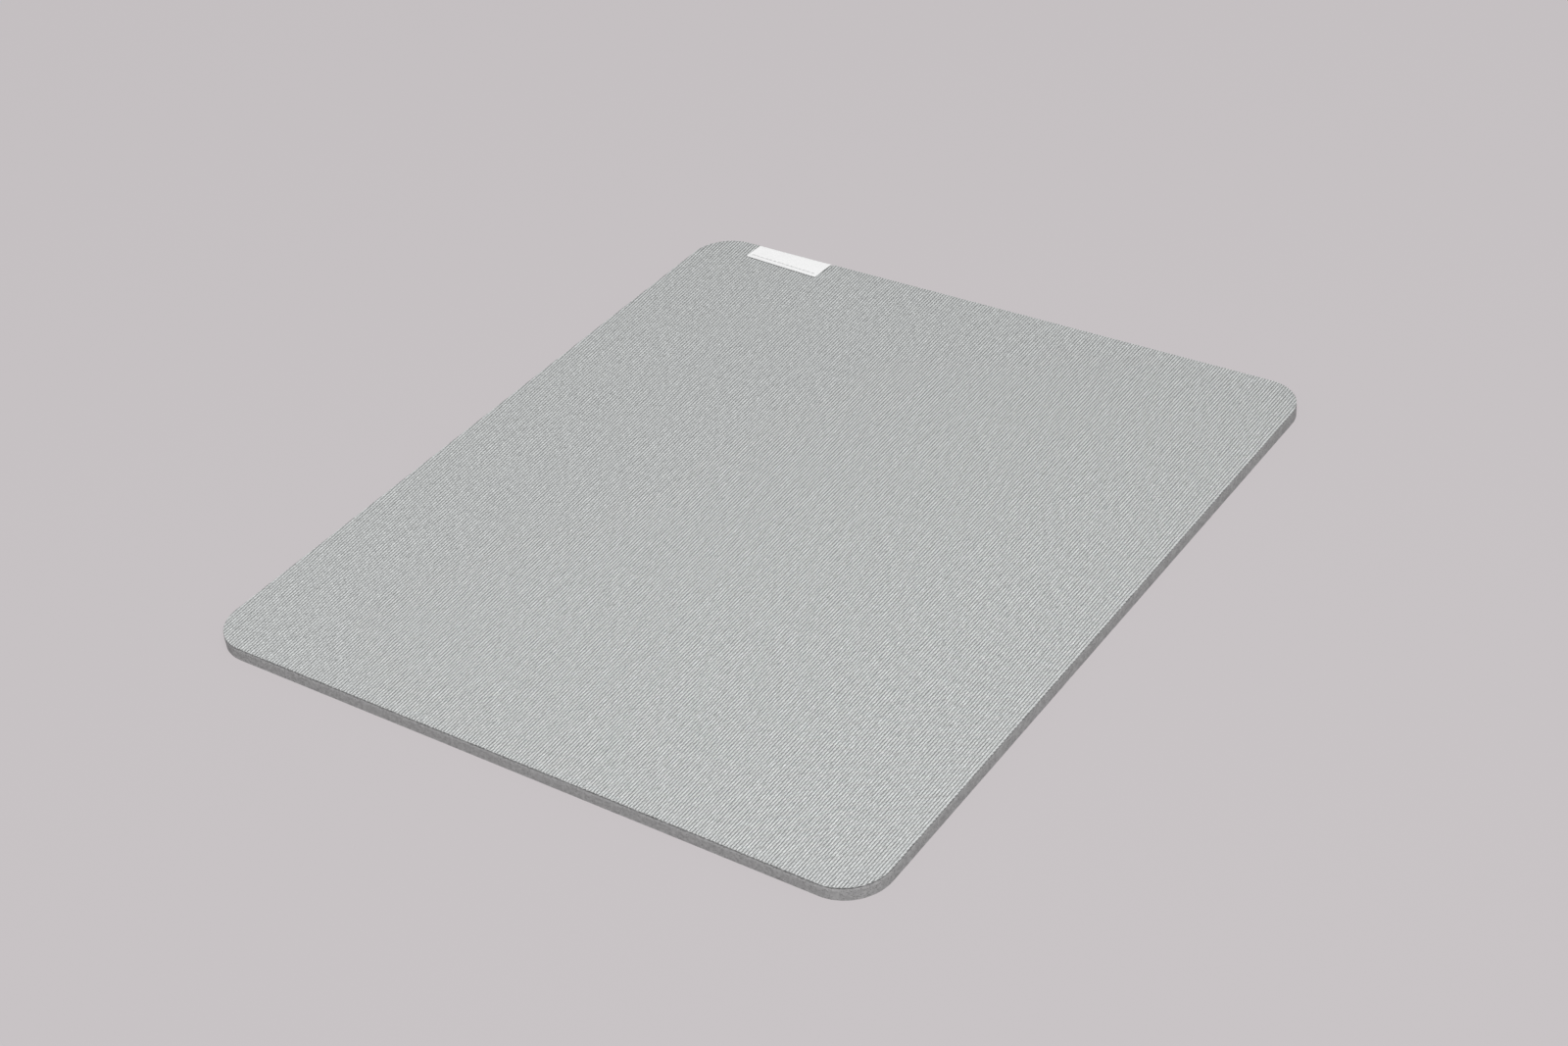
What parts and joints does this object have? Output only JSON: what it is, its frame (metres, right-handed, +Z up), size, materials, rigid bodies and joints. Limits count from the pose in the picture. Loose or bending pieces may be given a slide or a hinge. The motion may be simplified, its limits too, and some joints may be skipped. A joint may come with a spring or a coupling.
{
  "type": "mouse pad",
  "caption": "Flat soft mouse pad with rounded corners: ribbed grey cloth bonded to a foam rubber base, with a plain white label sewn over one short edge.",
  "frame": {"origin": "on the desk under the middle of the pad", "axes": "+X along the long side to the edge with the label, which is at the user's right hand, +Y across the short side away from the user, +Z up out of the cloth"},
  "size_m": [0.285, 0.25, 0.0062],
  "materials": {
    "foam_rubber": "matte fine-celled grey foam rubber",
    "adhesive_film": "thin dull hot-melt film",
    "ribbed_cloth": "heathered light grey, fine ribs along the long side",
    "woven_ribbon": "white close-woven ribbon with a soft sheen",
    "upper_thread": "white twisted sewing thread",
    "lower_thread": "off-white twisted sewing thread"
  },
  "bodies": {
    "root": {"rubber_base": "foam_rubber", "bond_film": "adhesive_film", "top_cloth": "ribbed_cloth", "edge_label": "woven_ribbon", "needle_thread": "upper_thread", "bobbin_thread": "lower_thread"}
  },
  "joints": []
}
